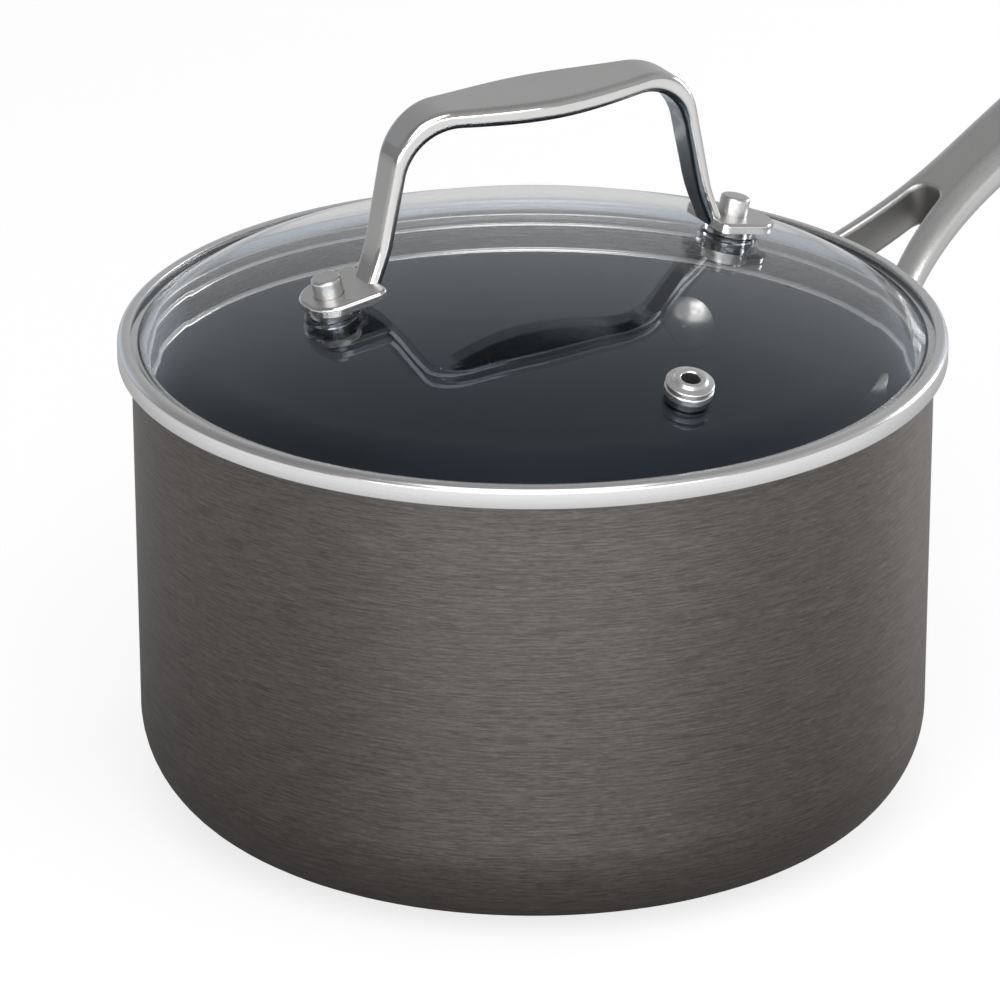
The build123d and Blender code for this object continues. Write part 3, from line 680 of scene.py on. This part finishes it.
# The floor's glow in reflections is painted light: it is cut away near the pan as a painted shadow, and
# dimmed behind and far left as painted shade.
clear_of_pan = spread(add, link, reach, *PAN_SHADE_REACH, 0.0, MIRRORED_GLOW)
unshaded = spread(add, link, along(add, link, heading, BACKWARD), *BACK_LEAN, 1.0, BACK_SHARE)
on_the_left = spread(add, link, along(add, link, heading, LEFTWARD), *LEFT_LEAN)
far_off = spread(add, link, reach, *FAR_REACH, 0.0, -FAR_LEFT_LOSS)
far_left = combine(add, link, "MULTIPLY_ADD", on_the_left, far_off, 1.0)
side_glow = combine(add, link, "MULTIPLY", unshaded, far_left)
floor_glow = combine(add, link, "MULTIPLY", clear_of_pan, side_glow)
mirrored_glow = combine(add, link, "MULTIPLY", ray["Is Glossy Ray"], floor_glow)
shader.inputs["Emission Color"].default_value = PAPER_GLOW
link(combine(add, link, "MAXIMUM", plain_glow, mirrored_glow), shader.inputs["Emission Strength"])
floor_mesh.materials.append(paper)


# Light
# A grey studio that is darker on the left, with a pale strip low at the back and a pale wing on each side.
# A wide soft box hangs overhead, a long one stands in front and a small one on the right.
WALL_LEVELS = [
    (0.0, 0.30),
    (0.5, 0.42),
    (0.55, 0.46),
    (0.71, 0.48),
    (0.77, 0.48),
    (0.89, 0.37),
    (0.945, 0.32),
    (1.0, 0.35),
]
LEFT_WALL_LEAN = (0.0, 0.7)
LEFT_WALL_SHARE = 0.6
BACK_WALL_LEAN = (0.5, 0.7)
STRIP_RISE = (0.085, 0.065)
WING_OFFSET = (0.25, 0.33)
WING_RISE = (0.48, 0.20)
PALE_WALL = (0.63, 0.67, 0.73, 1)
WHITE = (1, 1, 1, 1)

studio = bpy.data.worlds.new("grey_studio")
bpy.context.scene.world = studio
studio.use_nodes = True
add, link = node_tools(studio.node_tree)
heading = add("ShaderNodeTexCoord").outputs["Generated"]
rise = axes(add, link, heading)["Z"]
walls = add("ShaderNodeValToRGB")
stops = walls.color_ramp.elements
stops[0].position = WALL_LEVELS[0][0]
stops[1].position = WALL_LEVELS[-1][0]
for stop_place, level in WALL_LEVELS[1:-1]:
    stops.new(stop_place)
for stop, (stop_place, level) in zip(stops, WALL_LEVELS):
    stop.color = (level, level, level, 1)
link(spread(add, link, rise, -1.0, 1.0), walls.inputs["Fac"])
leftness = along(add, link, heading, LEFTWARD)
shaded_walls = add("ShaderNodeVectorMath", operation="SCALE")
link(walls.outputs["Color"], shaded_walls.inputs[0])
link(spread(add, link, leftness, *LEFT_WALL_LEAN, 1.0, LEFT_WALL_SHARE), shaded_walls.inputs["Scale"])
at_the_back = spread(add, link, along(add, link, heading, BACKWARD), *BACK_WALL_LEAN)
low_down = spread(add, link, rise, *STRIP_RISE)
pale_strip = combine(add, link, "MULTIPLY", low_down, at_the_back)
off_axis = spread(add, link, combine(add, link, "ABSOLUTE", leftness), *WING_OFFSET)
under_ceiling = spread(add, link, rise, *WING_RISE)
wing_sides = combine(add, link, "MULTIPLY", off_axis, under_ceiling)
pale_wings = combine(add, link, "MULTIPLY", wing_sides, at_the_back)
backdrop = combine(add, link, "MAXIMUM", pale_strip, pale_wings)
mirrored_room = two_tones(add, link, backdrop, shaded_walls.outputs["Vector"], PALE_WALL)
camera_ray = add("ShaderNodeLightPath").outputs["Is Camera Ray"]
room = studio.node_tree.nodes["Background"]
link(two_tones(add, link, camera_ray, mirrored_room, WHITE), room.inputs["Color"])
room.inputs["Strength"].default_value = 1.0


def stand(name, kit, place, aim):
    """Stand a lamp or a camera at a place and point it at another."""
    holder = bpy.data.objects.new(name, kit)
    holder.location = place
    holder.rotation_euler = (Vector(aim) - Vector(place)).to_track_quat("-Z", "Y").to_euler()
    bpy.context.scene.collection.objects.link(holder)
    return holder


def soft_box(name, place, aim, width, height, power):
    """Wide lamp at a place that points at another."""
    lamp = bpy.data.lights.new(name, "AREA")
    lamp.shape = "RECTANGLE"
    lamp.size = width
    lamp.size_y = height
    lamp.energy = power
    stand(name, lamp, place, aim)


soft_box("overhead_box", place=(-0.75, -0.75, 1.35), aim=(0, 0, 0.08), width=1.3, height=1.3, power=12)
soft_box("front_box", place=(-1.03, -1.09, 0.34), aim=(0, 0, 0.06), width=3.0, height=0.4, power=13)
soft_box("right_box", place=(1.45, -0.25, 0.30), aim=(0, 0, 0.06), width=0.5, height=0.5, power=6)


# Camera
# A long lens a little over two metres from the pan, looking down on it by 23 degrees.
# The lens is shifted to frame the pan as the photograph does.
VIEW_PLACE = (-1.4971, -1.4866, 0.9477)
VIEW_AIM = (0, 0, 0.060)
SENSOR_WIDTH = 36.0
LENS_LENGTH = 352.7
LENS_SHIFT = (-0.0328, 0.0505)

view = bpy.data.cameras.new("photo_view")
view.sensor_width = SENSOR_WIDTH
view.lens = LENS_LENGTH
view.shift_x, view.shift_y = LENS_SHIFT
bpy.context.scene.camera = stand("photo_view", view, VIEW_PLACE, VIEW_AIM)
bpy.context.scene.view_settings.view_transform = "Standard"
